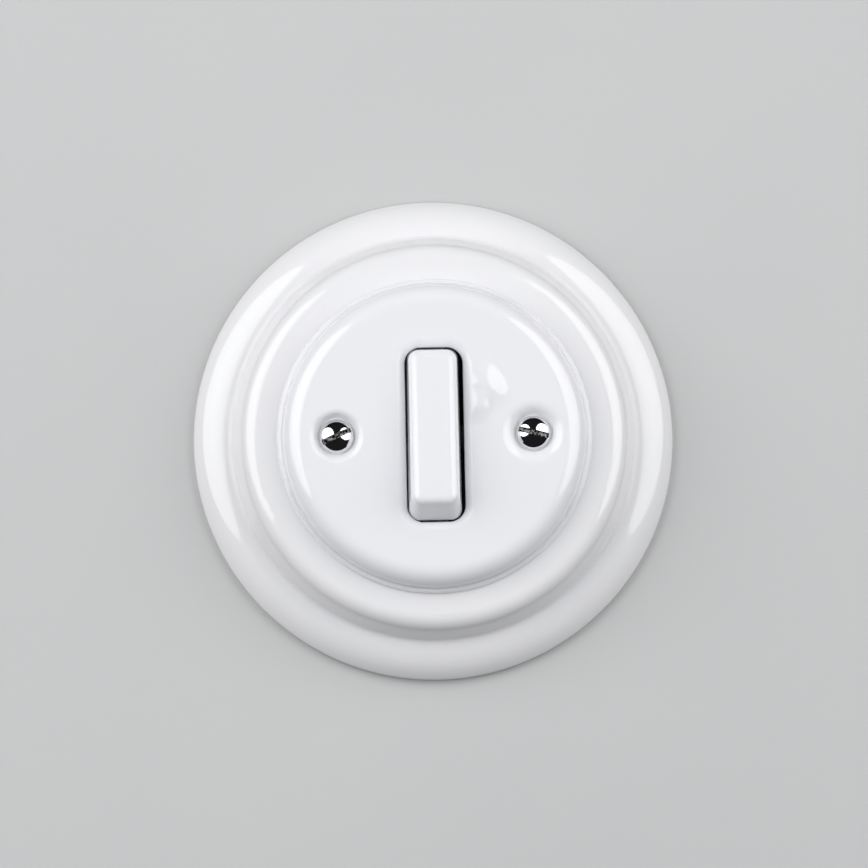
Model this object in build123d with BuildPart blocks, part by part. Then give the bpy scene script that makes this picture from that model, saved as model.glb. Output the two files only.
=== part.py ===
from build123d import *
from math import cos, radians, sin, sqrt, tan
import os

# A round glazed porcelain light switch on a flush wall box, held by two slotted screws.
# The wall is the XZ plane. Heights run from the wall into the room, along -Y, and +Z is up.

# Cover disc
cover_d = 62.6               # at the lower end of its wall
cover_round = 4.3            # rounded edge of the face
cover_draft = 8.0            # degrees by which the wall leans in
cover_straight = 0.685       # straight wall below the rounded edge
cover_foot_flat = 0.05       # ledge between the wall and the rounded foot
cover_foot_round = 1.0       # thin rounded foot that stands out below the wall
cover_foot_side = 0.3        # upright side of the foot
cover_wall = 4.0             # porcelain thickness
spigot_depth = 1.6           # ring behind the foot that centres the cover in the frame
spigot_clearance = 0.4
spigot_wall = 3.0
spigot_round = 0.6
hollow_round = 1.4           # inside corners of the moulded hollows

# Ring frame in two tiers
cover_lap = 1.85             # how far the cover's foot lies on the frame
tier_width = 8.5             # upper tier, from the opening to where its face and wall would meet
tier_height = 8.0            # above the lower tier
tier_draft = 19.5            # degrees by which its wall leans in
tier_round = 3.6             # rounded edge of the upper tier
cove_round = 0.4             # hollow corner between the tiers
rim_flat = 0.865             # flat between the wall's foot and the rounding of the lower tier
rim_round = 8.6              # broad rounding of the lower tier
rim_draft = 36.0             # degrees by which the rounding's end leans in
rim_straight = 0.1           # straight slope between the broad rounding and the edge
rim_edge_round = 1.5         # rounded edge above the upright foot
rim_foot = 1.8               # upright foot, up to where it would meet the slope
opening_round = 0.8
frame_wall = 3.6             # porcelain thickness
foot_width = 6.4             # ring that bears on the wall

# Rocker slot in the cover
slot_w = 11.2
slot_l = 35.0
slot_corner = 3.0
slot_round = 1.9             # rounded lip of the slot
slot_flare_margin = 1.5      # degrees by which the slot opens faster than the pressed key end

# Rocker key, with the top end pressed
tilt = 6.5                   # degrees either side of level
key_rise = 4.3               # top of the level key above the cover's face
key_end_gap = 0.3            # to the slot at the pressed end
key_side_gap = 0.6           # to the slot on each side when centred
key_end_draft = 14.0
key_side_draft = 4.5
key_round = 1.9              # rounded edge of the key's top
key_corner_core = 0.3        # corner radius of the flat left inside that edge
key_crown = 3.5              # thickness above the pocket for the cradle
key_skirt_lap = 0.4          # skirt below the slot's lip at the raised end
rocker_shift = -0.25         # the rocker stands to the left within its end play

# Rocker cradle and pin
pin_r = 1.0
pin_running_clearance = 0.05
pin_seat_clearance = 0.02
hub_r = 2.4
hub_end_play = 0.6
cradle_w = 6.8
cradle_l = 26.0
cradle_clearance = 0.1       # between the cradle and the key's pocket
cradle_edge = 3.6            # depth of the cradle's ends
cradle_waist = 9.0           # length of the cradle below the hub
stem_r = 2.6

# Plunger and spring
plunger_r = 1.55
plunger_bore_clearance = 0.15
plunger_reveal = 4.7         # plunger outside the stem
plunger_grip = 3.1           # plunger inside the stem
plunger_clearance = 0.15     # to the level contact blade
spring_length = 4.5
spring_wire_d = 0.45
spring_turns = 4
spring_seat_clearance = 0.05

# Bearing bridge in front of the mounting plate
bridge_w = 26.0
bridge_l = 44.0
bridge_t = 2.5
bridge_corner = 4.0
bridge_opening_clearance = 1.2
ear_gap = 16.0
ear_t = 3.2
ear_r = 2.6
ear_foot = 15.0
ear_cover_clearance = 0.6    # ear tops to the underside of the cover

# Mounting plate
plate_t = 1.2
plate_frame_clearance = 2.9  # plate corners to the frame's foot
plate_opening_w = 16.0
plate_opening_l = 24.0
plate_opening_corner = 2.0
box_screw_pitch = 60.0
box_slot_l = 8.0
box_slot_w = 4.0

# Cover screws and their pillars
cover_screw_pitch = 40.2
screw_shank_r = 1.75
screw_length = 10.5          # below the head
screw_tip_chamfer = 0.4
screw_head_r = 3.45
screw_head_side = 0.8        # upright side of the head
screw_head_dome = 1.5
screw_head_edge = 0.35       # rounded edge between the side and the dome
screw_slot_w = 1.05
screw_slot_depth = 1.2
left_slot_angle = 23.5
right_slot_angle = -14.0
dish_seat_r = 3.75           # flat seat in the dish round each head
dish_depth = 1.85
dish_slope = 60.0            # degrees between the dish's side and the face
left_dish_round = 1.5        # rounded lip of the left dish
right_dish_round = 3.0       # softer lip of the right dish
dish_margin = 0.5            # how far the dish's cut runs out past its lip
dish_lip_lift = 0.002        # the lip's rounding runs out this far above the face
screw_hole_r = 2.1
pillar_across = 7.0
pillar_cover_clearance = 0.4
pillar_rivet_r = 2.0
pillar_bore_depth = 8.5
thread_clearance = 0.05

# Insert base behind the plate
base_w = 44.0
base_l = 44.0
base_depth = 23.0
base_corner = 9.0
chamber_side_clearance = 0.4
chamber_end_clearance = 1.7
base_screw_pitch = 36.0
base_screw_r = 1.5
base_screw_depth = 10.0      # into the base
base_screw_head_r = 2.8
base_screw_head_h = 1.8
base_screw_slot_w = 0.8
base_screw_clearance = 0.2

# Changeover contact
fulcrum_depth = 5.7          # rocking axis of the blade, behind the wall plane
blade_tilt = 8.0             # degrees either side of level
blade_w = 6.0
blade_l = 23.6
blade_t = 0.8
blade_corner = 1.5
ridge_r = 1.0
contact_clearance = 0.05     # ridge to blade, and tip to closed tip
tip_from_end = 2.3           # middle of each tip from its end of the blade
tip_r = 1.5
tip_t = 0.6
rivet_r = 0.7
rivet_clearance = 0.02
fixed_tip_r = 1.6
fixed_tip_sphere = 3.0
strip_w = 6.0
strip_t = 1.0

# Terminals
terminal_from_side = 9.0     # middle of each terminal from its side of the base
block_side = 8.0
block_depth = 12.0
block_clearance = 0.1
wire_r = 1.6
wire_depth = 9.0
wire_entry_r = 2.2
clamp_screw_r = 1.5
clamp_from_back = 4.5        # clamp screw from the block's back end
clamp_recess = 1.0           # screw end below the base's side
clamp_slot_w = 0.6
clamp_slot_depth = 0.8

# Heights and radii that follow from these
cover_r = cover_d / 2
cover_slant = cover_round * tan(radians(90 - cover_draft) / 2) + cover_straight
cover_height = cover_slant * cos(radians(cover_draft))
face_r = cover_r - cover_slant * sin(radians(cover_draft))
cover_foot_r = cover_r + cover_foot_flat + cover_foot_round
opening_r = cover_foot_r - cover_lap
tier_r = opening_r + tier_width
tier_foot_r = tier_r + tier_height * tan(radians(tier_draft))
rim_curve = rim_round * tan(radians(90 - rim_draft) / 2)
rim_slant = rim_curve + rim_straight + rim_edge_round * tan(radians(rim_draft) / 2)
rim_r = tier_foot_r + rim_flat + rim_curve
frame_r = rim_r + rim_slant * sin(radians(rim_draft))
foot_inner_r = frame_r - foot_width
rim_h = rim_foot + rim_slant * cos(radians(rim_draft))
tier_h = rim_h + tier_height
ledge_h = tier_h + cover_foot_side + cover_foot_round
cover_top = ledge_h + cover_height
cover_under = cover_top - cover_wall
spigot_r = opening_r - spigot_clearance
cavity_r = spigot_r - spigot_wall
pivot_h = cover_under - ear_cover_clearance - ear_r
dish_floor = cover_top - dish_depth
dish_lip_h = cover_top + dish_lip_lift
dish_r = dish_seat_r + (dish_lip_h - dish_floor) / tan(radians(dish_slope))
dish_side = (dish_lip_h - dish_floor) / sin(radians(dish_slope))
dish_round_limit = 0.95 * dish_side / tan(radians(dish_slope / 2))
bridge_top = plate_t + bridge_t
key_corner = key_round + key_corner_core

# The slot opens towards the back, so the pressed end of the key, which leans out, stays clear.
slot_flare = tan(radians(key_end_draft - tilt + slot_flare_margin))
slot_growth = cover_wall * slot_flare
lip = cover_top - slot_round - pivot_h
lip_half_l = slot_l / 2 + slot_round * slot_flare
lip_half_w = slot_w / 2 + slot_round * slot_flare

# Where the pressed end of the tilted key passes the slot's lip, in the key's own level frame
tilt_cos = cos(radians(tilt))
tilt_sin = sin(radians(tilt))
pressed_z = lip_half_l - key_end_gap
end_z = pressed_z * tilt_cos - lip * tilt_sin
end_s = lip * tilt_cos + pressed_z * tilt_sin
key_top = cover_top + key_rise - pivot_h
key_bottom = (lip - key_skirt_lap - lip_half_l * tilt_sin) / tilt_cos

# The blade rocks on the ridge, and the plunger reaches it from the pivot.
blade_back = ridge_r + contact_clearance
blade_front = blade_back + blade_t
reach = pivot_h + fulcrum_depth - blade_front - plunger_clearance
stem_length = reach - plunger_reveal
bore_r = plunger_r + plunger_bore_clearance
bore_depth = plunger_grip + spring_length
tip_back = blade_back - tip_t
tip_pitch = blade_l - 2 * tip_from_end

# Centre of each domed fixed tip, so that the tilted moving tip closes on it
blade_cos = cos(radians(blade_tilt))
blade_sin = sin(radians(blade_tilt))
dome_v = tip_back - contact_clearance - fixed_tip_sphere
dome_z = tip_pitch / 2 * blade_cos + dome_v * blade_sin
dome_h = -fulcrum_depth - tip_pitch / 2 * blade_sin + dome_v * blade_cos
strip_front = dome_h + sqrt(fixed_tip_sphere**2 - fixed_tip_r**2)
chamber_floor = strip_front - strip_t
block_back = chamber_floor - block_depth
clamp_h = block_back + clamp_from_back
terminal_x = base_w / 2 - terminal_from_side
terminals = {
    "common": (terminal_x, 0.0),
    "upper": (-terminal_x, dome_z),
    "lower": (-terminal_x, -dome_z),
}

# Section: x is a radius and y a height. Side: x is up and y a height.
SECTION = Plane(origin=(0, 0, 0), x_dir=(1, 0, 0), z_dir=(0, 0, -1))
SIDE = Plane(origin=(0, 0, 0), x_dir=(0, 0, 1), z_dir=(1, 0, 0))
PIVOT = (rocker_shift, -pivot_h, 0)
ROCKER = Plane(origin=PIVOT, x_dir=(1, 0, 0), z_dir=(0, -tilt_cos, tilt_sin))
ROCKER_SIDE = Plane(origin=PIVOT, x_dir=(0, tilt_sin, tilt_cos), z_dir=(1, 0, 0))
BLADE = Plane(origin=(0, fulcrum_depth, 0), x_dir=(1, 0, 0), z_dir=(0, -blade_cos, -blade_sin))


def front(height):
    """Plane parallel to the wall, at a height towards the room."""
    return Plane.XZ.offset(height)


def key_half_length(s):
    return end_z - (s - end_s) * tan(radians(key_end_draft))


def key_half_width(s):
    return lip_half_w - key_side_gap - (s - lip) * tan(radians(key_side_draft))


os.makedirs("parts", exist_ok=True)

# Ring frame: one turned porcelain section, hollow behind both tiers
with BuildPart() as outer_frame:
    with BuildSketch(SECTION):
        with BuildLine():
            FilletPolyline(
                (frame_r, 0),
                (frame_r, rim_foot),
                (rim_r, rim_h),
                (tier_foot_r, rim_h),
                (tier_r, tier_h),
                (opening_r, tier_h),
                (opening_r, tier_h - frame_wall),
                (tier_r - frame_wall, tier_h - frame_wall),
                (tier_foot_r - frame_wall, rim_h - frame_wall),
                (foot_inner_r, rim_h - frame_wall),
                (foot_inner_r, 0),
                radius=[
                    0, rim_edge_round, rim_round, cove_round, tier_round, opening_round, opening_round,
                    hollow_round, hollow_round, hollow_round, 0,
                ],
                close=True,
            )
        make_face()
    revolve(axis=Axis.Y)
outer_frame.part.label = "outer_frame"
export_step(outer_frame.part, "parts/outer_frame.step")

# Cover disc: rounded edge, thin foot, centring spigot and hollow back
with BuildPart() as cover_plate:
    with BuildSketch(SECTION):
        with BuildLine():
            FilletPolyline(
                (0, cover_top),
                (face_r, cover_top),
                (cover_r, ledge_h),
                (cover_foot_r, ledge_h),
                (cover_foot_r, tier_h),
                (spigot_r, tier_h),
                (spigot_r, tier_h - spigot_depth),
                (cavity_r, tier_h - spigot_depth),
                (cavity_r, cover_under),
                (0, cover_under),
                radius=[
                    0, cover_round, 0, cover_foot_round, 0,
                    0, spigot_round, spigot_round, hollow_round, 0,
                ],
                close=True,
            )
        make_face()
    revolve(axis=Axis.Y)
    with BuildSketch(front(cover_top)):
        RectangleRounded(slot_w, slot_l, slot_corner)
    with BuildSketch(front(cover_under)):
        RectangleRounded(slot_w + 2 * slot_growth, slot_l + 2 * slot_growth, slot_corner + slot_growth)
    loft(mode=Mode.SUBTRACT)
    face = cover_plate.faces().sort_by(Axis.Y)[0]
    fillet(face.inner_wires()[0].edges(), radius=slot_round)
    for side, dish_round in ((-1, left_dish_round), (1, right_dish_round)):
        screw_x = side * cover_screw_pitch / 2
        lip_round = min(dish_round, dish_round_limit)
        lip_r = dish_r + lip_round * tan(radians(dish_slope / 2))
        with BuildSketch(Plane(origin=(screw_x, 0, 0), x_dir=(1, 0, 0), z_dir=(0, 0, -1))):
            with BuildLine():
                FilletPolyline(
                    (0, cover_top + dish_margin),
                    (lip_r + dish_margin, cover_top + dish_margin),
                    (lip_r + dish_margin, dish_lip_h),
                    (dish_r, dish_lip_h),
                    (dish_seat_r, dish_floor),
                    (0, dish_floor),
                    radius=[0, 0, 0, lip_round, 0, 0],
                    close=True,
                )
            make_face()
        revolve(axis=Axis((screw_x, 0, 0), (0, -1, 0)), mode=Mode.SUBTRACT)
    with BuildSketch(front(dish_floor)):
        with GridLocations(cover_screw_pitch, 0, 2, 1):
            Circle(screw_hole_r)
    extrude(amount=cover_under - dish_floor, mode=Mode.SUBTRACT)
cover_plate.part.label = "cover_plate"
export_step(cover_plate.part, "parts/cover_plate.step")

# Rocker key: drafted ends and sides, rounded top, pocket for the cradle
with BuildPart() as rocker_key:
    for level in (key_bottom, key_top):
        with BuildSketch(ROCKER.offset(level)):
            RectangleRounded(2 * key_half_width(level), 2 * key_half_length(level), key_corner)
    loft()
    top = rocker_key.faces().sort_by(Axis(PIVOT, ROCKER.z_dir))[-1]
    fillet(top.edges(), radius=key_round)
    with BuildSketch(ROCKER.offset(key_bottom)):
        Rectangle(cradle_w + 2 * cradle_clearance, cradle_l + 2 * cradle_clearance)
    extrude(amount=key_top - key_crown - key_bottom, mode=Mode.SUBTRACT)
rocker_key.part.label = "rocker_key"
export_step(rocker_key.part, "parts/rocker_key.step")

# Rocker cradle: block for the key, hub on the pin, hollow stem for the plunger
with BuildPart() as rocker_cradle:
    cradle_top = key_top - key_crown - cradle_clearance
    with BuildSketch(ROCKER_SIDE):
        with BuildLine():
            Polyline(
                (-cradle_l / 2, cradle_top),
                (cradle_l / 2, cradle_top),
                (cradle_l / 2, cradle_top - cradle_edge),
                (cradle_waist / 2, -hub_r),
                (-cradle_waist / 2, -hub_r),
                (-cradle_l / 2, cradle_top - cradle_edge),
                close=True,
            )
        make_face()
    extrude(amount=cradle_w / 2, both=True)
    with BuildSketch(ROCKER_SIDE):
        Circle(hub_r)
    extrude(amount=ear_gap / 2 - hub_end_play, both=True)
    with BuildSketch(ROCKER):
        Circle(stem_r)
    extrude(amount=-stem_length)
    with BuildSketch(ROCKER_SIDE):
        Circle(pin_r + pin_running_clearance)
    extrude(amount=ear_gap, both=True, mode=Mode.SUBTRACT)
    with BuildSketch(ROCKER.offset(-stem_length)):
        Circle(bore_r)
    extrude(amount=bore_depth, mode=Mode.SUBTRACT)
rocker_cradle.part.label = "rocker_cradle"
export_step(rocker_cradle.part, "parts/rocker_cradle.step")

# Plunger with a round nose, held out by its spring
with BuildPart() as plunger:
    with BuildSketch(ROCKER.offset(-reach)):
        Circle(plunger_r)
    extrude(amount=plunger_reveal + plunger_grip)
    nose = plunger.faces().sort_by(Axis(PIVOT, ROCKER.z_dir))[0]
    fillet(nose.edges(), radius=plunger_r * 0.98)
plunger.part.label = "plunger"
export_step(plunger.part, "parts/plunger.step")

with BuildPart() as plunger_spring:
    spring_seat = -stem_length + plunger_grip + spring_seat_clearance + spring_wire_d / 2
    coil_height = spring_length - 2 * spring_seat_clearance - spring_wire_d
    coil_r = bore_r - spring_seat_clearance - spring_wire_d / 2
    with BuildLine():
        coil = Helix(
            pitch=coil_height / spring_turns,
            height=coil_height,
            radius=coil_r,
            center=ROCKER.from_local_coords((0, 0, spring_seat)),
            direction=ROCKER.z_dir,
        )
    with BuildSketch(Plane(origin=coil @ 0, z_dir=coil % 0)):
        Circle(spring_wire_d / 2)
    sweep(path=coil, is_frenet=True)
plunger_spring.part.label = "plunger_spring"
export_step(plunger_spring.part, "parts/plunger_spring.step")

# Bearing bridge: flange on the plate and two ears that hold the pin
with BuildPart() as bearing_bridge:
    stem_swing = stem_length * tilt_sin
    with BuildSketch(front(plate_t)):
        RectangleRounded(bridge_w, bridge_l, bridge_corner)
        Rectangle(
            2 * (stem_r + bridge_opening_clearance),
            2 * (stem_r + stem_swing + bridge_opening_clearance),
            mode=Mode.SUBTRACT,
        )
        with GridLocations(0, base_screw_pitch, 1, 2):
            Circle(base_screw_r + base_screw_clearance, mode=Mode.SUBTRACT)
    extrude(amount=bridge_t)
    for side in (-1, 1):
        with BuildSketch(SIDE.offset(side * (ear_gap + ear_t) / 2)):
            with BuildLine():
                Polyline(
                    (-ear_foot / 2, bridge_top),
                    (ear_foot / 2, bridge_top),
                    (ear_r, pivot_h),
                    (-ear_r, pivot_h),
                    close=True,
                )
            make_face()
            with Locations((0, pivot_h)):
                Circle(ear_r)
                Circle(pin_r + pin_seat_clearance, mode=Mode.SUBTRACT)
        extrude(amount=ear_t / 2, both=True)
bearing_bridge.part.label = "bearing_bridge"
export_step(bearing_bridge.part, "parts/bearing_bridge.step")

with BuildPart() as pivot_pin:
    with BuildSketch(SIDE):
        with Locations((0, pivot_h)):
            Circle(pin_r)
    extrude(amount=ear_gap / 2 + ear_t, both=True)
pivot_pin.part.label = "pivot_pin"
export_step(pivot_pin.part, "parts/pivot_pin.step")

# Mounting plate: octagon inside the frame's hollow, slots for the wall box screws both ways
with BuildPart() as mounting_plate:
    with BuildSketch(front(0)):
        RegularPolygon(foot_inner_r - plate_frame_clearance, 8, rotation=22.5)
        RectangleRounded(plate_opening_w, plate_opening_l, plate_opening_corner, mode=Mode.SUBTRACT)
        with GridLocations(box_screw_pitch, 0, 2, 1):
            SlotOverall(box_slot_l, box_slot_w, mode=Mode.SUBTRACT)
        with GridLocations(0, box_screw_pitch, 1, 2):
            SlotOverall(box_slot_l, box_slot_w, rotation=90, mode=Mode.SUBTRACT)
        with GridLocations(0, base_screw_pitch, 1, 2):
            Circle(base_screw_r + base_screw_clearance, mode=Mode.SUBTRACT)
        with GridLocations(cover_screw_pitch, 0, 2, 1):
            Circle(pillar_rivet_r + rivet_clearance, mode=Mode.SUBTRACT)
    extrude(amount=plate_t)
mounting_plate.part.label = "mounting_plate"
export_step(mounting_plate.part, "parts/mounting_plate.step")

# Hexagon pillars riveted to the plate, threaded for the cover screws
with BuildPart() as threaded_pillars:
    pillar_top = cover_under - pillar_cover_clearance
    with BuildSketch(front(plate_t)):
        with GridLocations(cover_screw_pitch, 0, 2, 1):
            RegularPolygon(pillar_across / 2, 6, major_radius=False)
    extrude(amount=pillar_top - plate_t)
    with BuildSketch(front(0)):
        with GridLocations(cover_screw_pitch, 0, 2, 1):
            Circle(pillar_rivet_r)
    extrude(amount=plate_t)
    with BuildSketch(front(pillar_top)):
        with GridLocations(cover_screw_pitch, 0, 2, 1):
            Circle(screw_shank_r + thread_clearance)
    extrude(amount=-pillar_bore_depth, mode=Mode.SUBTRACT)
threaded_pillars.part.label = "threaded_pillars"
export_step(threaded_pillars.part, "parts/threaded_pillars.step")

# Cover screws: domed heads, each slot left at its own angle
with BuildPart() as cover_screws:
    head_top = dish_floor + screw_head_side + screw_head_dome
    dome_radius = (screw_head_r**2 + screw_head_dome**2) / (2 * screw_head_dome)
    tip_h = dish_floor - screw_length
    for side in (-1, 1):
        screw_x = side * cover_screw_pitch / 2
        with BuildSketch(Plane(origin=(screw_x, 0, 0), x_dir=(1, 0, 0), z_dir=(0, 0, -1))):
            with BuildLine():
                Polyline(
                    (0, head_top),
                    (0, tip_h),
                    (screw_shank_r - screw_tip_chamfer, tip_h),
                    (screw_shank_r, tip_h + screw_tip_chamfer),
                    (screw_shank_r, dish_floor),
                    (screw_head_r, dish_floor),
                    (screw_head_r, dish_floor + screw_head_side),
                )
                RadiusArc((screw_head_r, dish_floor + screw_head_side), (0, head_top), -dome_radius)
            make_face()
        revolve(axis=Axis((screw_x, 0, 0), (0, -1, 0)))
    circles = cover_screws.edges().filter_by(GeomType.CIRCLE)
    rims = circles.filter_by(lambda e: abs(e.radius - screw_head_r) < 1e-4)
    fillet(rims.group_by(Axis.Y)[0], radius=screw_head_edge)
    for side, slot_angle in ((-1, left_slot_angle), (1, right_slot_angle)):
        with BuildSketch(front(head_top)):
            with Locations((side * cover_screw_pitch / 2, 0)):
                Rectangle(4 * screw_head_r, screw_slot_w, rotation=slot_angle)
        extrude(amount=-screw_slot_depth, mode=Mode.SUBTRACT)
cover_screws.part.label = "cover_screws"
export_step(cover_screws.part, "parts/cover_screws.step")

# Insert base: contact chamber in front, terminal pockets, wire entries behind
with BuildPart() as insert_base:
    pocket_side = block_side + 2 * block_clearance
    wing_l = terminal_x + pocket_side / 2
    with BuildSketch(front(0)):
        corners = Rectangle(base_w, base_l).vertices()
        chamfer(corners, length=base_corner)
    extrude(amount=-base_depth)
    with BuildSketch(front(0)):
        Rectangle(blade_w + 2 * chamber_side_clearance, blade_l + 2 * chamber_end_clearance)
        for terminal_side, terminal_z in terminals.values():
            with Locations((terminal_side / terminal_x * wing_l / 2, terminal_z)):
                Rectangle(wing_l, pocket_side)
    extrude(amount=chamber_floor, mode=Mode.SUBTRACT)
    with BuildSketch(front(chamber_floor)):
        with Locations(*terminals.values()):
            Rectangle(pocket_side, pocket_side)
    extrude(amount=-block_depth, mode=Mode.SUBTRACT)
    with BuildSketch(front(-base_depth)):
        with Locations(*terminals.values()):
            Circle(wire_entry_r)
    extrude(amount=base_depth + block_back, mode=Mode.SUBTRACT)
    for terminal_side, terminal_z in terminals.values():
        with BuildSketch(SIDE.offset(terminal_side)):
            with Locations((terminal_z, clamp_h)):
                Circle(clamp_screw_r + base_screw_clearance)
        extrude(amount=terminal_side / terminal_x * base_w / 2, mode=Mode.SUBTRACT)
    with BuildSketch(front(0)):
        with GridLocations(0, base_screw_pitch, 1, 2):
            Circle(base_screw_r + thread_clearance)
    extrude(amount=-base_screw_depth, mode=Mode.SUBTRACT)
insert_base.part.label = "insert_base"
export_step(insert_base.part, "parts/insert_base.step")

# Screws that clamp the bridge and the base to the plate
with BuildPart() as base_screws:
    with BuildSketch(front(bridge_top)):
        with GridLocations(0, base_screw_pitch, 1, 2):
            Circle(base_screw_head_r)
    extrude(amount=base_screw_head_h)
    with BuildSketch(front(bridge_top)):
        with GridLocations(0, base_screw_pitch, 1, 2):
            Circle(base_screw_r)
    extrude(amount=-bridge_top - base_screw_depth)
    with BuildSketch(front(bridge_top + base_screw_head_h)):
        with GridLocations(0, base_screw_pitch, 1, 2):
            Rectangle(4 * base_screw_head_r, base_screw_slot_w)
    extrude(amount=-base_screw_head_h / 2, mode=Mode.SUBTRACT)
base_screws.part.label = "base_screws"
export_step(base_screws.part, "parts/base_screws.step")

# See-saw contact blade, its lower end closed, with a rivet at each end
with BuildPart() as contact_blade:
    with BuildSketch(BLADE.offset(blade_back)):
        RectangleRounded(blade_w, blade_l, blade_corner)
        with GridLocations(0, tip_pitch, 1, 2):
            Circle(rivet_r + rivet_clearance, mode=Mode.SUBTRACT)
    extrude(amount=blade_t)
contact_blade.part.label = "contact_blade"
export_step(contact_blade.part, "parts/contact_blade.step")

with BuildPart() as moving_contact_tips:
    with BuildSketch(BLADE.offset(tip_back)):
        with GridLocations(0, tip_pitch, 1, 2):
            Circle(tip_r)
    extrude(amount=tip_t)
    with BuildSketch(BLADE.offset(blade_back)):
        with GridLocations(0, tip_pitch, 1, 2):
            Circle(rivet_r)
    extrude(amount=blade_t)
moving_contact_tips.part.label = "moving_contact_tips"
export_step(moving_contact_tips.part, "parts/moving_contact_tips.step")

# Common strip with the ridge that the blade rocks on
with BuildPart() as common_contact:
    strip_end = terminal_x + block_side / 2
    with BuildSketch(front(chamber_floor)):
        with Locations((strip_end / 2 - blade_w / 4, 0)):
            Rectangle(strip_end + blade_w / 2, strip_w)
    extrude(amount=strip_t)
    with BuildSketch(SIDE):
        with Locations((0, -fulcrum_depth)):
            Circle(ridge_r)
        with Locations((0, (strip_front - fulcrum_depth) / 2)):
            Rectangle(2 * ridge_r, -fulcrum_depth - strip_front)
    extrude(amount=blade_w / 2, both=True)
common_contact.part.label = "common_contact"
export_step(common_contact.part, "parts/common_contact.step")

# Strips under the two ends of the blade
for name, side in (("upper", 1), ("lower", -1)):
    with BuildPart() as fixed_contact:
        with BuildSketch(front(chamber_floor)):
            with Locations((blade_w / 4 - strip_end / 2, side * dome_z)):
                Rectangle(strip_end + blade_w / 2, strip_w)
            with Locations((0, side * dome_z)):
                Circle(rivet_r + rivet_clearance, mode=Mode.SUBTRACT)
        extrude(amount=strip_t)
    fixed_contact.part.label = f"fixed_contact_{name}"
    export_step(fixed_contact.part, f"parts/fixed_contact_{name}.step")

with BuildPart() as fixed_contact_tips:
    for side in (-1, 1):
        with BuildSketch(Plane(origin=(0, 0, side * dome_z), x_dir=(1, 0, 0), z_dir=(0, 0, -1))):
            with BuildLine():
                Polyline(
                    (0, dome_h + fixed_tip_sphere),
                    (0, chamber_floor),
                    (rivet_r, chamber_floor),
                    (rivet_r, strip_front),
                    (fixed_tip_r, strip_front),
                )
                RadiusArc((fixed_tip_r, strip_front), (0, dome_h + fixed_tip_sphere), -fixed_tip_sphere)
            make_face()
        revolve(axis=Axis((0, 0, side * dome_z), (0, -1, 0)))
fixed_contact_tips.part.label = "fixed_contact_tips"
export_step(fixed_contact_tips.part, "parts/fixed_contact_tips.step")

# Terminal blocks: wire bore from the back, clamp screw from the side
for name, (terminal_side, terminal_z) in terminals.items():
    with BuildPart() as terminal:
        with BuildSketch(front(chamber_floor)):
            with Locations((terminal_side, terminal_z)):
                Rectangle(block_side, block_side)
        extrude(amount=-block_depth)
        with BuildSketch(front(block_back)):
            with Locations((terminal_side, terminal_z)):
                Circle(wire_r)
        extrude(amount=wire_depth, mode=Mode.SUBTRACT)
        with BuildSketch(SIDE.offset(terminal_side)):
            with Locations((terminal_z, clamp_h)):
                Circle(clamp_screw_r + thread_clearance)
        extrude(amount=terminal_side / terminal_x * block_side, mode=Mode.SUBTRACT)
    terminal.part.label = f"terminal_{name}"
    export_step(terminal.part, f"parts/terminal_{name}.step")

with BuildPart() as terminal_screws:
    for terminal_side, terminal_z in terminals.values():
        outward = terminal_side / terminal_x
        screw_start = terminal_side + outward * wire_r
        screw_end = outward * (base_w / 2 - clamp_recess)
        with BuildSketch(SIDE.offset(screw_start)):
            with Locations((terminal_z, clamp_h)):
                Circle(clamp_screw_r)
        extrude(amount=screw_end - screw_start)
        with BuildSketch(SIDE.offset(screw_end)):
            with Locations((terminal_z, clamp_h)):
                Rectangle(4 * clamp_screw_r, clamp_slot_w)
        extrude(amount=-outward * clamp_slot_depth, mode=Mode.SUBTRACT)
terminal_screws.part.label = "terminal_screws"
export_step(terminal_screws.part, "parts/terminal_screws.step")
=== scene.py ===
# %% [markdown]
# # A porcelain wall switch
# The switch is a white glazed ring with a round cover in it, a rocker key in the cover's slot and two
# chromed screws. Behind the ring sit a steel plate and a moulded insert with the contacts.
# The solids come from the CAD frame. They could be modelled again here, but the frame's own meshes are
# exact and already ride on the right bodies, so this lesson only gives them their finish, adds a
# merged copy of the spring, and sets up a small studio.

# %% Load the frame
import math

import bmesh
import bpy
from mathutils import Matrix, Vector


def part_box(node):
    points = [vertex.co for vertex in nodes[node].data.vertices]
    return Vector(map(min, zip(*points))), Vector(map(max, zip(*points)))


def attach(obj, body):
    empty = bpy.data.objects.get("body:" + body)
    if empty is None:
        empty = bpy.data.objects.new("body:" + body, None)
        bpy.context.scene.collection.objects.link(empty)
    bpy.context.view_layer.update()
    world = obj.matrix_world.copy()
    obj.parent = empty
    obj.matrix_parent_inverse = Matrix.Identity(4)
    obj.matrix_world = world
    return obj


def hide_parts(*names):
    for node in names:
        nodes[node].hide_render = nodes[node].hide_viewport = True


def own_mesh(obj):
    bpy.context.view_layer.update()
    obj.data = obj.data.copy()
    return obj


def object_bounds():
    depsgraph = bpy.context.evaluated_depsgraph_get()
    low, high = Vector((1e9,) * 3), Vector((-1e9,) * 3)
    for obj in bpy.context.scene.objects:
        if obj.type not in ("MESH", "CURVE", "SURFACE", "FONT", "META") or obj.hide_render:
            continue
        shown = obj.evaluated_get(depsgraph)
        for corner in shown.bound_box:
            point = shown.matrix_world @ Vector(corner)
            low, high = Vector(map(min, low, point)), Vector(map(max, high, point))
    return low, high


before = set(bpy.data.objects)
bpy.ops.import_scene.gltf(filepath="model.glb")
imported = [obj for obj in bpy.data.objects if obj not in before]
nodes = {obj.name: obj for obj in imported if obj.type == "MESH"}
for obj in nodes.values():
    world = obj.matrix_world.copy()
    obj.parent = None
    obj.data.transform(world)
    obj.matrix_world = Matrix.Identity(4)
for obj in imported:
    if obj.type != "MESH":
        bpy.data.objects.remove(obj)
cad_low, cad_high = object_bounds()
MM = 0.001
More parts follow.
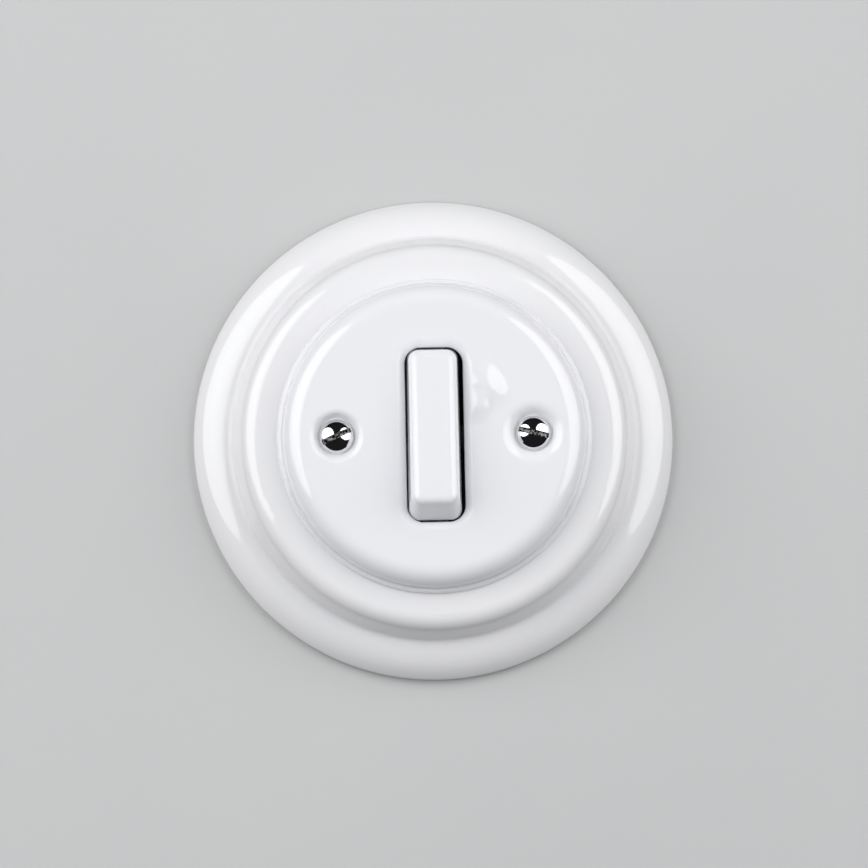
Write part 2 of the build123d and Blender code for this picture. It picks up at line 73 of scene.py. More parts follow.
cad_size = [round((high - low) / MM, 1) for low, high in zip(cad_low, cad_high)]
print("CAD nodes:", len(nodes), "box in mm:", cad_size)


# %% [markdown]
# ## Helpers for materials
# A material is a small graph of nodes. Such a graph can be drawn by hand in the shader editor, but a
# script that repeats it for a dozen finishes is easier to read with a few helpers: each makes a node,
# sets its plain values and joins it to the nodes before it, so a finish below reads as a recipe.

# %% Node helpers
VECTOR_MATH = "ShaderNodeVectorMath"


def feed(tree, source, socket):
    """Join an output to a socket, or set the socket to a plain value."""
    if isinstance(source, bpy.types.NodeSocket):
        tree.links.new(source, socket)
    else:
        socket.default_value = source


def add(tree, kind, **values):
    """A new node; a keyword names an input, with _ for a space, or else an attribute."""
    node = tree.nodes.new(kind)
    for name, value in values.items():
        socket = name.replace("_", " ")
        if socket in node.inputs:
            feed(tree, value, node.inputs[socket])
        else:
            setattr(node, name, value)
    return node


def compute(tree, operation, *terms, kind="ShaderNodeMath", **attributes):
    """A sum in a Math node, of sockets and plain numbers."""
    node = add(tree, kind, operation=operation, **attributes)
    for term, socket in zip(terms, node.inputs):
        feed(tree, term, socket)
    return node.outputs["Value" if operation in ("LENGTH", "DISTANCE") else 0]


def ramp(tree, value, start, end, low=0.0, high=1.0, smooth=False):
    """A value that goes from low to high while the given one goes from start to end."""
    bend = "SMOOTHSTEP" if smooth else "LINEAR"
    node = add(tree, "ShaderNodeMapRange", interpolation_type=bend, Value=value)
    for name, limit in (("From Min", start), ("From Max", end), ("To Min", low), ("To Max", high)):
        feed(tree, limit, node.inputs[name])
    return node.outputs["Result"]


def mix(tree, factor, first, second, kind="RGBA"):
    return add(tree, "ShaderNodeMix", data_type=kind, Factor=factor, A=first, B=second).outputs["Result"]


def object_place(tree):
    return add(tree, "ShaderNodeTexCoord").outputs["Object"]


def split_axes(tree, vector):
    return add(tree, "ShaderNodeSeparateXYZ", Vector=vector).outputs


print("node helpers:", [helper.__name__ for helper in (feed, add, compute, ramp, mix)])


# %% [markdown]
# An effect that several finishes share is a node group with named sockets. It could be copied into each
# material, but a group is built once and each material sets its own values on it. Every finish here then
# feeds the same three sockets of its shader, so one function does that for all of them.

# %% Groups and materials
FLOAT = "NodeSocketFloat"
COLOR = "NodeSocketColor"
VECTOR = "NodeSocketVector"
FINISH_OUTPUTS = [("Color", COLOR), ("Roughness", FLOAT), ("Height", FLOAT)]


def new_group(name, inputs, outputs):
    """An empty group, the outputs of its input node and the inputs of its output node."""
    group = bpy.data.node_groups.new(name, "ShaderNodeTree")
    for socket, kind, default in inputs:
        made = group.interface.new_socket(socket, in_out="INPUT", socket_type=kind)
        made.default_value = default
    for socket, kind in outputs:
        group.interface.new_socket(socket, in_out="OUTPUT", socket_type=kind)
    return group, group.nodes.new("NodeGroupInput").outputs, group.nodes.new("NodeGroupOutput").inputs


def new_material(name):
    material = bpy.data.materials.new(name)
    material.use_nodes = True
    return material, material.node_tree, material.node_tree.nodes["Principled BSDF"]


def dress(tree, surface, effect, strength, relief):
    """Feed a finish's colour, roughness and fine relief to the shader; gives the relief's node."""
    bump = add(tree, "ShaderNodeBump", Strength=strength, Distance=relief, Height=effect.outputs["Height"])
    feed(tree, effect.outputs["Color"], surface.inputs["Base Color"])
    feed(tree, effect.outputs["Roughness"], surface.inputs["Roughness"])
    feed(tree, bump.outputs["Normal"], surface.inputs["Normal"])
    return bump


def add_relief(material, height, depth):
    """Lay one more relief over the relief that a material already has."""
    tree = material.node_tree
    normal = tree.nodes["Principled BSDF"].inputs["Normal"]
    below = normal.links[0].from_socket
    bump = add(tree, "ShaderNodeBump", Strength=1.0, Distance=depth, Height=height, Normal=below)
    feed(tree, bump.outputs["Normal"], normal)


print("each finish puts out:", [name for name, _ in FINISH_OUTPUTS])


# %% [markdown]
# ## Fired glaze
# Glaze is a thin layer of glass. It lies a little unevenly, so its reflections wander, and it holds
# faint clouds and the odd pinhole. Where a piece stood in the kiln the glaze is wiped off, and the dull
# biscuit shows. A painted picture could hold all this, but noise in Object coordinates needs no picture
# and fits any piece, so all three porcelain pieces use this group, each with its own values.

# %% Glaze group
PINHOLE_COLOUR = (0.42, 0.39, 0.35, 1)
PIT_CELLS_PER_METRE = 420.0
PINHOLE_DRAW = (0.985, 1.0)
PINHOLE_RIM = (0.10, 0.04)
PINHOLE_DEPTH = -0.4
BISCUIT_COLOUR = (0.72, 0.69, 0.64, 1)
BISCUIT_ROUGHNESS = 0.85
BISCUIT_EDGE = 0.3 * MM
GLAZE_ROUGHNESS = (0.03, 0.06)


def build_glaze_group():
    group, given, out = new_group(
        "Fired glaze",
        [
            ("Glaze", COLOR, (0.8, 0.8, 0.8, 1)),
            ("Cloud", COLOR, (0.75, 0.75, 0.75, 1)),
            ("Cloud scale", FLOAT, 60.0),
            ("Ripple scale", FLOAT, 110.0),
            ("Seed", FLOAT, 0.0),
            ("Bare from", FLOAT, 1.0),
        ],
        FINISH_OUTPUTS,
    )
    place = object_place(group)
    here = {"Vector": place, "W": given["Seed"]}
    noise = {"noise_dimensions": "4D", **here}
    clouds = add(
        group, "ShaderNodeTexNoise", **noise, Scale=given["Cloud scale"], Detail=3.0, Roughness=0.55
    ).outputs["Fac"]
    tint = mix(group, clouds, given["Glaze"], given["Cloud"])
    pits = add(group, "ShaderNodeTexVoronoi", voronoi_dimensions="4D", **here, Scale=PIT_CELLS_PER_METRE)
    draw = add(group, "ShaderNodeSeparateColor", Color=pits.outputs["Color"]).outputs["Red"]
    rare = ramp(group, draw, *PINHOLE_DRAW)
    core = ramp(group, pits.outputs["Distance"], *PINHOLE_RIM)
    pinhole = compute(group, "MULTIPLY", rare, core, use_clamp=True)
    shade = mix(group, pinhole, tint, PINHOLE_COLOUR)
    past = compute(group, "SUBTRACT", split_axes(group, place)["Y"], given["Bare from"])
    bare = ramp(group, past, 0.0, BISCUIT_EDGE)
    feed(group, mix(group, bare, shade, BISCUIT_COLOUR), out["Color"])
    gloss = ramp(group, clouds, 0.0, 1.0, *GLAZE_ROUGHNESS)
    feed(group, mix(group, bare, gloss, BISCUIT_ROUGHNESS, kind="FLOAT"), out["Roughness"])
    ripple = add(
        group, "ShaderNodeTexNoise", **noise, Scale=given["Ripple scale"], Detail=1.0, Roughness=0.4
    ).outputs["Fac"]
    feed(group, compute(group, "MULTIPLY_ADD", pinhole, PINHOLE_DEPTH, ripple), out["Height"])
    return group


glaze_group = build_glaze_group()
print("group:", glaze_group.name)


# %% [markdown]
# Wet glaze flows off sharp corners and pools in creases, such as the one between the ring's two tiers.
# The mesh could be rounded there, but the frame's solids stay as they are, so a Bevel node bends only
# the normals. Too wide a bend would blur the gloss everywhere, so this group gives a thin flow in
# general and a deep one in a round crease about the middle of the switch.

# %% Pool group
POOL_CORE = 0.6


def build_pool_group():
    group, given, out = new_group(
        "Glaze pool",
        [
            ("Crease radius", FLOAT, 40 * MM),
            ("Half width", FLOAT, 1 * MM),
            ("Deep", FLOAT, 1 * MM),
            ("Thin", FLOAT, 0.1 * MM),
        ],
        [("Flow", FLOAT)],
    )
    flat = compute(group, "MULTIPLY", object_place(group), (1, 0, 1), kind=VECTOR_MATH)
    reach = compute(group, "LENGTH", flat, kind=VECTOR_MATH)
    away = compute(group, "ABSOLUTE", compute(group, "SUBTRACT", reach, given["Crease radius"]))
    inner = compute(group, "MULTIPLY", given["Half width"], POOL_CORE)
    feed(group, ramp(group, away, inner, given["Half width"], given["Deep"], given["Thin"]), out["Flow"])
    return group


pool_group = build_pool_group()
print("group:", pool_group.name)


# %% [markdown]
# The ring, the cover and the key were fired apart, so their whites differ a little. Each gets its own
# material from the same recipe: a Principled shader with the refraction of glass, the glaze group for
# colour and gloss, and a Bevel node for the flow over corners.

# %% Porcelain recipe
GLAZE_IOR = 1.6
RING_CREASE = {"Crease_radius": 42.6 * MM, "Half_width": 1.7 * MM, "Deep": 1.7 * MM}
COVER_CREASE = {"Crease_radius": 31.6 * MM, "Half_width": 1.3 * MM, "Deep": 0.8 * MM}


def porcelain(name, seed, glaze, cloud, bare_from, flow, crease=None):
    """White glazed porcelain with its own clouds, bare where Object Y is past a value."""
    material, tree, surface = new_material(name)
    surface.inputs["IOR"].default_value = GLAZE_IOR
    effect = add(
        tree,
        "ShaderNodeGroup",
        node_tree=glaze_group,
        Glaze=glaze,
        Cloud=cloud,
        Seed=seed,
        Bare_from=bare_from,
    )
    bump = dress(tree, surface, effect, strength=0.25, relief=0.06 * MM)
    if crease:
        flow = add(tree, "ShaderNodeGroup", node_tree=pool_group, Thin=flow, **crease).outputs["Flow"]
    softened = add(tree, "ShaderNodeBevel", samples=6, Radius=flow)
    feed(tree, softened.outputs["Normal"], bump.inputs["Normal"])
    return material


pool_radii = [round(crease["Crease_radius"] / MM, 1) for crease in (RING_CREASE, COVER_CREASE)]
print("glaze pools at radii in mm:", pool_radii)


# %% Porcelain materials
NOWHERE_BARE = 1.0


def give_finish(finishes):
    for node_name, material in finishes.items():
        nodes[node_name].data.materials[0] = material


ring_white = porcelain(
    "ring_porcelain",
    seed=1.0,
    glaze=(0.835, 0.831, 0.848, 1),
    cloud=(0.815, 0.813, 0.832, 1),
    bare_from=-0.5 * MM,
    flow=0.1 * MM,
    crease=RING_CREASE,
)
cover_white = porcelain(
    "cover_porcelain",
    seed=4.0,
    glaze=(0.84, 0.838, 0.864, 1),
    cloud=(0.82, 0.822, 0.85, 1),
    bare_from=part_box("cover_plate")[1][1] - 0.6 * MM,
    flow=0.1 * MM,
    crease=COVER_CREASE,
)
key_white = porcelain(
    "key_porcelain",
    seed=7.0,
    glaze=(0.835, 0.836, 0.864, 1),
    cloud=(0.82, 0.821, 0.85, 1),
    bare_from=NOWHERE_BARE,
    flow=0.2 * MM,
)
give_finish({"outer_frame": ring_white, "cover_plate": cover_white, "rocker_key": key_white})
print("porcelain:", ring_white.name, cover_white.name, key_white.name)


# %% [markdown]
# A pressed cover keeps soft folds that only show when they catch a lamp. Each is a low ridge that
# rises slowly and falls quickly along a short line. A group makes the ridge around its own zero, and a
# Mapping node in the material puts it in place and turns it, so one group serves for every fold.

# %% Fold group
def build_fold_group():
    group, given, out = new_group(
        "Glaze fold",
        [
            ("Place", VECTOR, (0, 0, 0)),
            ("Rise", FLOAT, 6 * MM),
            ("Fall", FLOAT, 2 * MM),
            ("Half length", FLOAT, 4 * MM),
        ],
        [("Height", FLOAT)],
    )
    axes = split_axes(group, given["Place"])
    foot = compute(group, "MULTIPLY", given["Rise"], -1.0)
    climb = ramp(group, axes["X"], foot, 0.0, smooth=True)
    drop = ramp(group, axes["X"], 0.0, given["Fall"], 1.0, 0.0, smooth=True)
    along = compute(group, "ABSOLUTE", axes["Z"])
    ends = ramp(group, along, 0.0, given["Half length"], 1.0, 0.0, smooth=True)
    ridge = compute(group, "MULTIPLY", climb, drop)
    feed(group, compute(group, "MULTIPLY", ridge, ends), out["Height"])
    return group


fold_group = build_fold_group()


def fold_glaze(material, x, z, turn, rise, fall, half_length, height):
    """Add a fold to a porcelain: its crest goes through x, z and it falls off turn degrees above +X."""
    tree = material.node_tree
    cosine, sine = math.cos(math.radians(turn)), math.sin(math.radians(turn))
    turned = add(
        tree,
        "ShaderNodeMapping",
        Vector=object_place(tree),
        Rotation=(0, math.radians(turn), 0),
        Location=(-(x * cosine + z * sine), 0, -(z * cosine - x * sine)),
    )
    fold = add(
        tree,
        "ShaderNodeGroup",
        node_tree=fold_group,
        Place=turned.outputs["Vector"],
        Rise=rise,
        Fall=fall,
        Half_length=half_length,
    )
    add_relief(material, fold.outputs["Height"], height)


print("group:", fold_group.name)


# %% Folds in the cover
fold_glaze(
    cover_white,
    x=10.6 * MM,
    z=10.2 * MM,
    turn=34.0,
    rise=6.0 * MM,
    fall=4.2 * MM,
    half_length=6.5 * MM,
    height=0.85 * MM,
)
fold_glaze(
    cover_white,
    x=9.2 * MM,
    z=5.4 * MM,
    turn=-12.0,
    rise=4.0 * MM,
    fall=2.8 * MM,
    half_length=4.0 * MM,
    height=0.55 * MM,
)
reliefs = [node for node in cover_white.node_tree.nodes if node.type == "BUMP"]
print("reliefs on the cover, its ripple among them:", len(reliefs))


# %% [markdown]
# ## Metals
# Plated, ground and rolled metal differ in how their fine grain scatters light. A scanned surface could
# show that, but two noises do it at any size: one makes the grain, the other the haze of handling. Each
# metal sets its own colours, grain scale and range of roughness on the same group.

# %% Metal group
HAZY_GRAIN = (0.1, 0.45)


def build_metal_group():
    group, given, out = new_group(
        "Worked metal",
        [
            ("Metal", COLOR, (0.7, 0.7, 0.7, 1)),
            ("Haze", COLOR, (0.6, 0.6, 0.6, 1)),
            ("Grain scale", FLOAT, 900.0),
            ("Smooth", FLOAT, 0.15),
            ("Rough", FLOAT, 0.35),
        ],
        FINISH_OUTPUTS,
    )
    place = object_place(group)
    haze = add(
        group, "ShaderNodeTexNoise", Vector=place, Scale=140.0, Detail=4.0, Roughness=0.6
    ).outputs["Fac"]
    grain = add(
        group, "ShaderNodeTexNoise", Vector=place, Scale=given["Grain scale"], Detail=5.0, Roughness=0.7
    ).outputs["Fac"]
    both = compute(group, "MULTIPLY", haze, grain)
    feed(group, mix(group, haze, given["Metal"], given["Haze"]), out["Color"])
    feed(group, ramp(group, both, *HAZY_GRAIN, given["Smooth"], given["Rough"]), out["Roughness"])
    feed(group, grain, out["Height"])
    return group


metal_group = build_metal_group()
print("group:", metal_group.name)


# %% [markdown]
# The cover screws are chromed, the plate and the other screws are zinc plated, the pin, plunger and
# spring are ground steel, and the contacts are rolled brass with silver rivets. The base screws have a
# material apart from the plate's, because they get a thread below and the plate doesn't.

# %% Zinc plating
ZINC = {
    "colour": (0.66, 0.68, 0.71, 1),
    "haze": (0.55, 0.56, 0.55, 1),
    "grain_scale": 700.0,
    "smooth": 0.22,
    "rough": 0.42,
    "relief": 0.01 * MM,
}


def metal(name, colour, haze, grain_scale, smooth, rough, relief):
    material, tree, surface = new_material(name)
    surface.inputs["Metallic"].default_value = 1.0
    effect = add(
        tree,
        "ShaderNodeGroup",
        node_tree=metal_group,
        Metal=colour,
        Haze=haze,
        Grain_scale=grain_scale,
        Smooth=smooth,
        Rough=rough,
    )
    dress(tree, surface, effect, strength=0.3, relief=relief)
    return material


zinc = metal("zinc_plated", **ZINC)
zinc_screw = metal("zinc_screw", **ZINC)
print("zinc:", zinc.name, zinc_screw.name)


# %% Other metals
chrome = metal(
    "chrome",
    colour=(0.83, 0.83, 0.85, 1),
    haze=(0.78, 0.78, 0.8, 1),
    grain_scale=1500.0,
    smooth=0.03,
    rough=0.09,
    relief=0.002 * MM,
)
bright = metal(
    "bright_steel",
    colour=(0.66, 0.66, 0.66, 1),
    haze=(0.56, 0.56, 0.57, 1),
    grain_scale=1200.0,
    smooth=0.16,
    rough=0.34,
    relief=0.006 * MM,
)
brass = metal(
    "rolled_brass",
    colour=(0.80, 0.60, 0.28, 1),
    haze=(0.62, 0.43, 0.18, 1),
    grain_scale=800.0,
    smooth=0.2,
    rough=0.4,
    relief=0.008 * MM,
)
silver = metal(
    "silver_rivet",
    colour=(0.88, 0.87, 0.84, 1),
    haze=(0.74, 0.72, 0.67, 1),
    grain_scale=900.0,
    smooth=0.2,
    rough=0.4,
    relief=0.006 * MM,
)
print("metals:", chrome.name, bright.name, brass.name, silver.name)


# %% Metal nodes
METAL_NODES = {
    "cover_screws": chrome,
    "mounting_plate": zinc,
    "threaded_pillars": zinc,
    "base_screws": zinc_screw,
    "terminal_screws": zinc,
    "pivot_pin": bright,
    "plunger": bright,
    "plunger_spring": bright,
    "contact_blade": brass,
    "common_contact": brass,
    "fixed_contact_upper": brass,
    "fixed_contact_lower": brass,
    "terminal_common": brass,
    "terminal_upper": brass,
    "terminal_lower": brass,
    "moving_contact_tips": silver,
    "fixed_contact_tips": silver,
}
give_finish(METAL_NODES)
print("metal nodes:", len(METAL_NODES))


# %% [markdown]
# The CAD screws have plain shanks. A thread could be swept as a mesh, but it is hidden in use, so a
# relief will do: a thread is a ridge that climbs one pitch for each turn, so its height comes from the
# place along the axis and the angle around it. Both screws of a pair are one node, so the distance from
# the nearer axis is taken on either side of the middle.

# %% Thread group
def build_thread_group():
    group, given, out = new_group(
        "Screw thread",
        [("Along", FLOAT, 0.0), ("Across", FLOAT, 0.0), ("Up", FLOAT, 0.0), ("Pitch", FLOAT, 0.7 * MM)],
        [("Height", FLOAT)],
    )
    angle = compute(group, "ARCTAN2", given["Up"], given["Across"])
    pitches = compute(group, "DIVIDE", given["Along"], given["Pitch"])
    climb = compute(group, "MULTIPLY_ADD", angle, 1 / math.tau, pitches)
    feed(group, compute(group, "PINGPONG", climb, 0.5), out["Height"])
    return group


thread_group = build_thread_group()
print("group:", thread_group.name)


# %% Threads
THREAD_RUNOUT = 0.3 * MM


def from_pair_axis(tree, axis, offset):
    """Distance from the nearer axis of two screws that stand at plus and minus an offset."""
    return compute(tree, "SUBTRACT", compute(tree, "ABSOLUTE", axis), offset)


def cut_thread(material, across, up, axis_offset, pitch, start):
    """Thread a pair of screws along Object Y, from start on; across is the axis that parts the pair."""
    tree = material.node_tree
    axes = split_axes(tree, object_place(tree))
    thread = add(
        tree,
        "ShaderNodeGroup",
        node_tree=thread_group,
        Along=axes["Y"],
        Across=from_pair_axis(tree, axes[across], axis_offset),
        Up=axes[up],
        Pitch=pitch,
    )
    shank = ramp(tree, axes["Y"], start, start + THREAD_RUNOUT)
    add_relief(material, compute(tree, "MULTIPLY", thread.outputs["Height"], shank), pitch)


COVER_SCREW_X = 20.1 * MM
BASE_SCREW_Z = 18 * MM
cover_screw_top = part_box("cover_screws")[0][1]
base_screw_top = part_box("base_screws")[0][1]
cut_thread(
    chrome,
    across="X",
    up="Z",
    axis_offset=COVER_SCREW_X,
    pitch=0.7 * MM,
    start=cover_screw_top + 2.3 * MM,
)
cut_thread(
    zinc_screw,
    across="Z",
    up="X",
    axis_offset=BASE_SCREW_Z,
    pitch=0.5 * MM,
    start=base_screw_top + 1.8 * MM,
)
print("threads on:", chrome.name, zinc_screw.name)


# %% [markdown]
# The floors of the slots in the chromed heads are coloured darker, in streaks, and made rougher. The
# floors could get a material slot of their own, but the frame's meshes stay as they are, so a mask picks
# them by their depth and by their distance from the screws' axes.

# %% Slot floors
FLOOR_ROUGHNESS = 0.5
FLOOR_EDGE = 0.1 * MM
FLOOR_STREAK_RANGE = (0.42, 0.68)
FLOOR_DARK = (0.01, 0.01, 0.01, 1)
FLOOR_BRIGHT = (0.62, 0.62, 0.62, 1)


def darken_slots(material, axis_x, radius, top, bottom):
    """Dark, streaked floors in the slots of two heads at plus and minus axis_x, between two Object Y."""
    tree = material.node_tree
    surface = tree.nodes["Principled BSDF"]
    colour = surface.inputs["Base Color"].links[0].from_socket
    gloss = surface.inputs["Roughness"].links[0].from_socket
    place = object_place(tree)
    axes = split_axes(tree, place)
    flat = add(tree, "ShaderNodeCombineXYZ", X=from_pair_axis(tree, axes["X"], axis_x), Z=axes["Z"])
    reach = compute(tree, "LENGTH", flat.outputs["Vector"], kind=VECTOR_MATH)
    below_top = ramp(tree, axes["Y"], top, top + FLOOR_EDGE)
    above_bottom = compute(tree, "LESS_THAN", axes["Y"], bottom)
    within = compute(tree, "MULTIPLY", compute(tree, "LESS_THAN", reach, radius), below_top)
    floor = compute(tree, "MULTIPLY", within, above_bottom)
    streaks = add(tree, "ShaderNodeTexNoise", Vector=place, Scale=2200.0, Detail=2.0)
    # The floors' colour goes in streaks between a dark and a bright one.
    streaked_floor = mix(tree, ramp(tree, streaks.outputs["Fac"], *FLOOR_STREAK_RANGE), FLOOR_DARK, FLOOR_BRIGHT)
    feed(tree, mix(tree, floor, colour, streaked_floor), surface.inputs["Base Color"])
    feed(tree, mix(tree, floor, gloss, FLOOR_ROUGHNESS, kind="FLOAT"), surface.inputs["Roughness"])


darken_slots(
    chrome,
    axis_x=COVER_SCREW_X,
    radius=3.0 * MM,
    top=cover_screw_top + 1.06 * MM,
    bottom=cover_screw_top + 1.3 * MM,
)
print("slot floors on:", chrome.name)


# %% [markdown]
# ## The plunger's spring
# The spring in the rocker's stem is stiff in the CAD frame, while a real one shortens as the plunger
# slides in. Its coil could be swept again, but a merged copy of the frame's mesh has the same form. It
# takes the solid's place and rides on the rocker, still as stiff as the solid.

# %% Plunger spring
def place_mesh(name, shape):
    """Turn a bmesh into an object at the origin."""
    mesh = bpy.data.meshes.new(name)
    shape.to_mesh(mesh)
    shape.free()
    piece = bpy.data.objects.new(name, mesh)
    bpy.context.scene.collection.objects.link(piece)
    return piece


def build_coil_spring(source):
    shape = bmesh.new()
    shape.from_mesh(source.data)
    bmesh.ops.remove_doubles(shape, verts=shape.verts, dist=0.001 * MM)
    bmesh.ops.recalc_face_normals(shape, faces=shape.faces)
    for face in shape.faces:
        face.smooth = True
    spring = place_mesh("coil_spring", shape)
    spring.data.materials.append(bright)
    return spring


coil_spring = build_coil_spring(nodes["plunger_spring"])
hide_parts("plunger_spring")
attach(coil_spring, "rocker")
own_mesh(coil_spring)


# %% [markdown]
# ## Mouldings
# The insert's base, its bridge and the rocker's cradle are moulded. Such a piece shows faint flow lines
# in its colour and the fine spark texture of its mould. A plain colour would look like a toy, so one
# group makes both with noise: a distorted one for the flow and a fine one for the relief.

# %% Moulding group
MOULDING_ROUGHNESS = (0.34, 0.58)


def build_moulding_group():
    group, given, out = new_group(
        "Moulded skin",
        [("Skin", COLOR, (0.1, 0.1, 0.1, 1)), ("Flow", COLOR, (0.12, 0.12, 0.12, 1))],
        FINISH_OUTPUTS,
    )
    place = object_place(group)
    flow = add(
        group, "ShaderNodeTexNoise", Vector=place, Scale=90.0, Detail=6.0, Roughness=0.6, Distortion=0.8
    ).outputs["Fac"]
    spark = add(group, "ShaderNodeTexNoise", Vector=place, Scale=2200.0, Detail=2.0)
    feed(group, mix(group, flow, given["Skin"], given["Flow"]), out["Color"])
    feed(group, ramp(group, flow, 0.0, 1.0, *MOULDING_ROUGHNESS), out["Roughness"])
    feed(group, spark.outputs["Fac"], out["Height"])
    return group


moulding_group = build_moulding_group()
print("group:", moulding_group.name)


# %% Moulded insert
def moulding(name, skin, flow):
    material, tree, surface = new_material(name)
    effect = add(tree, "ShaderNodeGroup", node_tree=moulding_group, Skin=skin, Flow=flow)
    dress(tree, surface, effect, strength=0.35, relief=0.02 * MM)
    return material


grey_moulding = moulding("grey_moulding_skin", (0.26, 0.265, 0.27, 1), (0.32, 0.325, 0.33, 1))
black_moulding = moulding("black_moulding_skin", (0.022, 0.022, 0.023, 1), (0.035, 0.035, 0.036, 1))
give_finish({
    "insert_base": grey_moulding,
    "bearing_bridge": black_moulding,
    "rocker_cradle": black_moulding,
})
print("mouldings:", grey_moulding.name, black_moulding.name)


# %% [markdown]
# ## The backdrop
# A plain pale backdrop stands behind the ring, at the back of its foot. A plane would do from the
# front, but the switch is looked at from behind too: so the backdrop is opaque from the front and clear
# from behind, and it has a round opening just inside the foot, through which the back gets light. It is
# two circles with a bridge of faces between them.

# %% Backdrop paint
WALL_SHADED = (0.52, 0.52, 0.525, 1)
WALL_PALE = (0.56, 0.56, 0.56, 1)
WALL_TO_OTHER_RAYS = (0.18, 0.18, 0.18, 1)


def mix_shaders(tree, factor, first, second):
    node = add(tree, "ShaderNodeMixShader", Fac=factor)
    feed(tree, first, node.inputs[1])
    feed(tree, second, node.inputs[2])
    return node.outputs["Shader"]


def paint_wall():
    """Pale paint to the camera, darker to other rays, clear from behind."""
    material, tree, surface = new_material("wall_paint")
    surface.inputs["Roughness"].default_value = 0.9
    patch = add(tree, "ShaderNodeTexNoise", Vector=object_place(tree), Scale=9.0, Detail=3.0)
    tint = mix(tree, patch.outputs["Fac"], WALL_SHADED, WALL_PALE)
    rays = add(tree, "ShaderNodeLightPath").outputs
    paint = mix(tree, rays["Is Camera Ray"], WALL_TO_OTHER_RAYS, tint)
    feed(tree, paint, surface.inputs["Base Color"])
    backfacing = add(tree, "ShaderNodeNewGeometry").outputs["Backfacing"]
    clear = add(tree, "ShaderNodeBsdfTransparent").outputs["BSDF"]
    one_sided = mix_shaders(tree, backfacing, surface.outputs["BSDF"], clear)
    feed(tree, one_sided, tree.nodes["Material Output"].inputs["Surface"])
    return material


wall_paint = paint_wall()
print("backdrop finish:", wall_paint.name)


# %% Backdrop
WALL_REACH = 1.4
FOOT_OVERLAP = 0.4 * MM


def build_wall(reach, opening):
    """A flat ring in the plane of the switch's foot: two circles, bridged, that face the front, -Y."""
    shape = bmesh.new()
    upright = Matrix.Rotation(math.radians(90), 4, "X")
    edges = []
    for radius in (reach, opening):
        circle = bmesh.ops.create_circle(shape, segments=128, radius=radius, matrix=upright)
        edges += list({edge for vert in circle["verts"] for edge in vert.link_edges})
    bmesh.ops.bridge_loops(shape, edges=edges)
    for face in shape.faces:
        face.normal_update()
        if face.normal.y > 0:
            face.normal_flip()
    wall = place_mesh("studio_wall", shape)
    wall.data.materials.append(wall_paint)
    return wall


ring_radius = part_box("outer_frame")[1][0]
studio_wall = build_wall(WALL_REACH, ring_radius - FOOT_OVERLAP)
print("backdrop faces:", len(studio_wall.data.polygons))


# %% [markdown]
# ## The lamps
# Two large round soft boxes stand at the sides and a little above, as the long highlights on the ring
# show. Each could be one lamp, but then highlights as bright as the photograph's would bleach the white.
# So each box is two lamps, one just in front of the other: one lights the body of the porcelain, the
# other is what the gloss mirrors. A weaker lamp stands above, and one behind lights the back.

# %% Soft boxes
LAMP_MIDDLE = (0.5, 0.5, 0)


def soft_box(name, polar, lift, distance, size, radiance, body=True, gloss=True):
    """A soft box seen from the switch at an angle off its axis, lifted above the horizon."""
    off_axis, above = math.radians(polar), math.radians(lift)
    direction = Vector((
        math.sin(off_axis) * math.cos(above),
        -math.cos(off_axis),
        math.sin(abs(off_axis)) * math.sin(above),
    )).normalized()
    lamp = bpy.data.lights.new(name, "AREA")
    lamp.shape = "ELLIPSE"
    lamp.size, lamp.size_y = size
    lamp.energy = radiance * math.pi * math.pi / 4 * lamp.size * lamp.size_y
    box = bpy.data.objects.new(name, lamp)
    box.location = direction * distance
    box.rotation_mode = "QUATERNION"
    box.rotation_quaternion = direction.to_track_quat("Z", "Y")
    box.visible_camera = False
    box.visible_diffuse = body
    box.visible_glossy = gloss
    bpy.context.scene.collection.objects.link(box)
    return box


def fade_to_rim(box, rim):
    """Let the glow of a soft box fall off from its middle to a share of it at the rim."""
    box.data.use_nodes = True
    tree = box.data.node_tree
    place = add(tree, "ShaderNodeNewGeometry").outputs["Parametric"]
    offset = compute(tree, "DISTANCE", place, LAMP_MIDDLE, kind=VECTOR_MATH)
    fall = ramp(tree, offset, 0.0, 0.5, 1.0, rim, smooth=True)
    feed(tree, fall, tree.nodes["Emission"].inputs["Strength"])


print("lamp helpers:", soft_box.__name__, fade_to_rim.__name__)


# %% Lamps
LEFT, RIGHT, TOP, REAR = -49.0, 49.0, 45.0, 150.0
BODY_BOX = {"lift": 14.0, "distance": 0.81, "size": (0.96, 0.87), "gloss": False}
GLOSS_BOX = {"lift": 18.0, "distance": 0.8, "size": (0.96, 0.87), "body": False, "radiance": 2.75}
GLOSS_RIM = 0.8

lamps = [
    soft_box("left_body_light", LEFT, radiance=2.62, **BODY_BOX),
    soft_box("right_body_light", RIGHT, radiance=2.2, **BODY_BOX),
    soft_box("top_body_light", TOP, lift=90.0, distance=0.8, size=(0.7, 0.5), radiance=0.85, gloss=False),
    soft_box("left_gloss_light", LEFT, **GLOSS_BOX),
    soft_box("right_gloss_light", RIGHT, **GLOSS_BOX),
    soft_box("rear_light", REAR, lift=30.0, distance=1.0, size=(0.8, 0.8), radiance=4.0),
]
for lamp in lamps:
    if not lamp.visible_diffuse:
        fade_to_rim(lamp, GLOSS_RIM)
print("lamps:", [lamp.name for lamp in lamps])


# %% [markdown]
# ## The air of the studio
# The air gives the rest of the soft light. It is dark to the gloss in front of the switch, as the black
# in the chrome tells, and pale behind it. One plain colour can't be both, so the world answers each kind
# of ray with its own background: the backdrop for the camera, a soft fill for the body of the porcelain,
# and dark or pale, by direction, for reflections.

# %% World
HORIZON = (-0.05, 0.35)


def background(tree, colour, strength):
    return add(tree, "ShaderNodeBackground", Color=colour, Strength=strength).outputs["Background"]


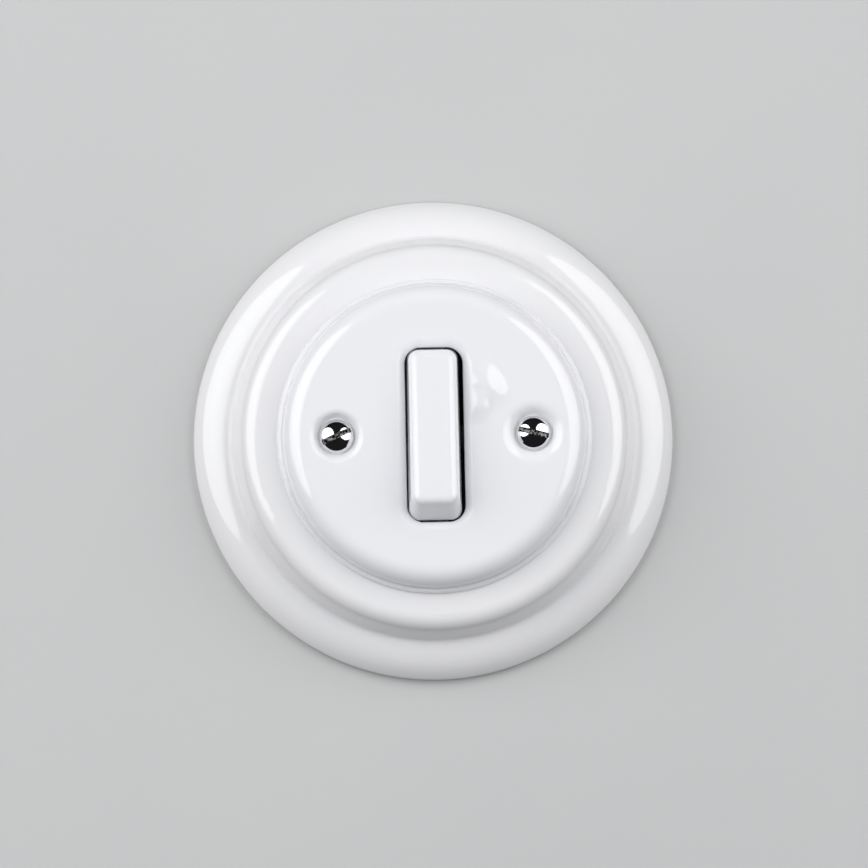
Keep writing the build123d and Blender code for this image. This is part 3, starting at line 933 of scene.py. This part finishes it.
world = bpy.data.worlds.new("studio_air")
bpy.context.scene.world = world
world.use_nodes = True
air = world.node_tree
air.nodes.remove(air.nodes["Background"])
backdrop = background(air, (0.8, 0.8, 0.82, 1), 0.9)
dark = background(air, (0.8, 0.82, 0.85, 1), 0.015)
fill = background(air, (0.97, 1.0, 1.03, 1), 0.22)
heading = split_axes(air, add(air, "ShaderNodeTexCoord").outputs["Generated"])
rays = add(air, "ShaderNodeLightPath").outputs
mirrored = mix_shaders(air, ramp(air, heading["Y"], *HORIZON), dark, backdrop)
unseen = mix_shaders(air, rays["Is Glossy Ray"], fill, mirrored)
seen = mix_shaders(air, rays["Is Camera Ray"], unseen, backdrop)
feed(air, seen, air.nodes["World Output"].inputs["Surface"])
print("world:", world.name)


# %% [markdown]
# ## The camera
# The photograph looks at the switch from slightly below and from the left, with a long lens. The
# camera is turned a little, so the key leans to the left in the picture. The lens is worked out from
# how many pixels a metre takes at the ring's foot, which is easier to measure than a focal length.

# %% Camera
IMAGE_SIDE = 868
SENSOR = 36.0
CAMERA_DISTANCE = 0.735
CAMERA_AZIMUTH = -1.2
CAMERA_ELEVATION = -3.9
CAMERA_ROLL = 1.2
PIXELS_PER_METRE = 4786.0
AIM = Vector((0.00017, 0, 0.00136))

camera_data = bpy.data.cameras.new("camera")
camera_data.sensor_width = SENSOR
camera_data.lens = PIXELS_PER_METRE * CAMERA_DISTANCE / IMAGE_SIDE * SENSOR
camera_data.clip_start = 0.01
camera = bpy.data.objects.new("camera", camera_data)
bpy.context.scene.collection.objects.link(camera)
turn = math.radians(CAMERA_AZIMUTH)
rise = math.radians(CAMERA_ELEVATION)
towards = Vector((math.sin(turn) * math.cos(rise), -math.cos(turn) * math.cos(rise), math.sin(rise)))
camera.location = towards * CAMERA_DISTANCE
look = (camera.location - AIM).to_track_quat("Z", "Y").to_matrix().to_4x4()
roll = Matrix.Rotation(math.radians(-CAMERA_ROLL), 4, "Z")
camera.matrix_world = Matrix.Translation(camera.location) @ look @ roll
bpy.context.scene.camera = camera
bpy.context.scene.view_settings.view_transform = "Standard"
print("lens:", round(camera_data.lens, 1))
